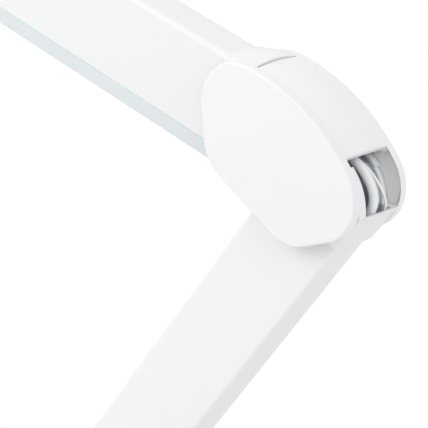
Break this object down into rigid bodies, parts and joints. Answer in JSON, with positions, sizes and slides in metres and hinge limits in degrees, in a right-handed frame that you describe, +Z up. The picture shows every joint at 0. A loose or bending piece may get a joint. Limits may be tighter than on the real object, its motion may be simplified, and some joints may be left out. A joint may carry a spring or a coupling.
{
  "type": "folding desk lamp",
  "caption": "Folding desk lamp: round weighted base with swivel turret, flat lower arm, double-pivot elbow and a flat LED head with a diffuser strip.",
  "frame": {"origin": "centre of the base's flat underside, on the table", "axes": "+Z up, -Y towards the front, where the power button is; both arms lie in the XZ plane and the lower arm leans towards +X"},
  "size_m": [0.436, 0.2, 0.5431],
  "materials": {
    "arm_white": "satin",
    "base_white": "satin",
    "cover_white": "satin",
    "plate_paint": "satin",
    "ballast_iron": "matte",
    "steel": "satin",
    "insert_brass": "satin",
    "nylon": "matte",
    "pad_rubber": "matte",
    "black_plastic": "matte",
    "cable_white": "satin",
    "board_green": "satin",
    "board_white": "satin",
    "led_yellow": "gloss",
    "diffuser_frost": "matte"
  },
  "bodies": {
    "base": {"foot_pad": "pad_rubber", "base_plate": "plate_paint", "ballast_disc": "ballast_iron", "base_shell": "base_white", "base_screws": "steel", "swivel_post": "steel", "swivel_bearing": "nylon", "swivel_nuts": "steel", "swivel_washer": "nylon", "power_inlet": "black_plastic", "control_board": "board_green", "button_dome": "pad_rubber", "inlet_cable": "black_plastic", "base_cable": "cable_white"},
    "power_button": {"power_button": "cover_white"},
    "turret": {"turret": "arm_white", "turret_bolt": "steel", "turret_nut": "steel", "turret_washers": "nylon", "turret_caps": "cover_white"},
    "lower_arm": {"lower_arm_tube": "arm_white", "base_knuckle": "arm_white", "base_sleeve": "steel", "elbow_knuckle": "arm_white", "lower_sleeve": "steel", "friction_disc": "steel", "arm_screws": "steel", "turret_cable": "cable_white", "arm_cable": "cable_white"},
    "elbow": {"elbow_front_cover": "cover_white", "elbow_back_cover": "cover_white", "elbow_strap": "cover_white", "elbow_bolts": "steel", "elbow_inserts": "insert_brass", "elbow_washers": "nylon", "strap_screw": "steel", "elbow_cable": "cable_white", "elbow_wire": "cable_white"},
    "head": {"head_housing": "arm_white", "head_knuckle": "arm_white", "upper_sleeve": "steel", "head_screws": "steel", "diffuser": "diffuser_frost", "led_board": "board_white", "leds": "led_yellow", "head_end_cap": "arm_white", "head_cable": "cable_white"}
  },
  "joints": [
    {"name": "power_button", "type": "slide", "parent": "base", "child": "power_button", "axis": [0, 0, -1], "range_m": [0, 0.0012], "stiffness_N_per_m": 600, "springref_m": -0.0005, "deforming": ["button_dome"]},
    {"name": "base_swivel", "type": "hinge", "parent": "base", "child": "turret", "pos_m": [0, 0, 0.032], "axis": [0, 0, 1], "range_deg": [-90, 90]},
    {"name": "base_tilt", "type": "hinge", "parent": "turret", "child": "lower_arm", "pos_m": [0, 0, 0.062], "axis": [0, -1, 0], "range_deg": [-45, 45], "deforming": ["turret_cable"]},
    {"name": "elbow_lower", "type": "hinge", "parent": "lower_arm", "child": "elbow", "pos_m": [0.25242, 0, 0.38508], "axis": [0, -1, 0], "range_deg": [-54, 0], "deforming": ["elbow_cable", "elbow_wire"]},
    {"name": "elbow_upper", "type": "hinge", "parent": "elbow", "child": "head", "pos_m": [0.21342, 0, 0.41022], "axis": [0, -1, 0], "range_deg": [0, 68.5], "deforming": ["elbow_cable"]}
  ]
}
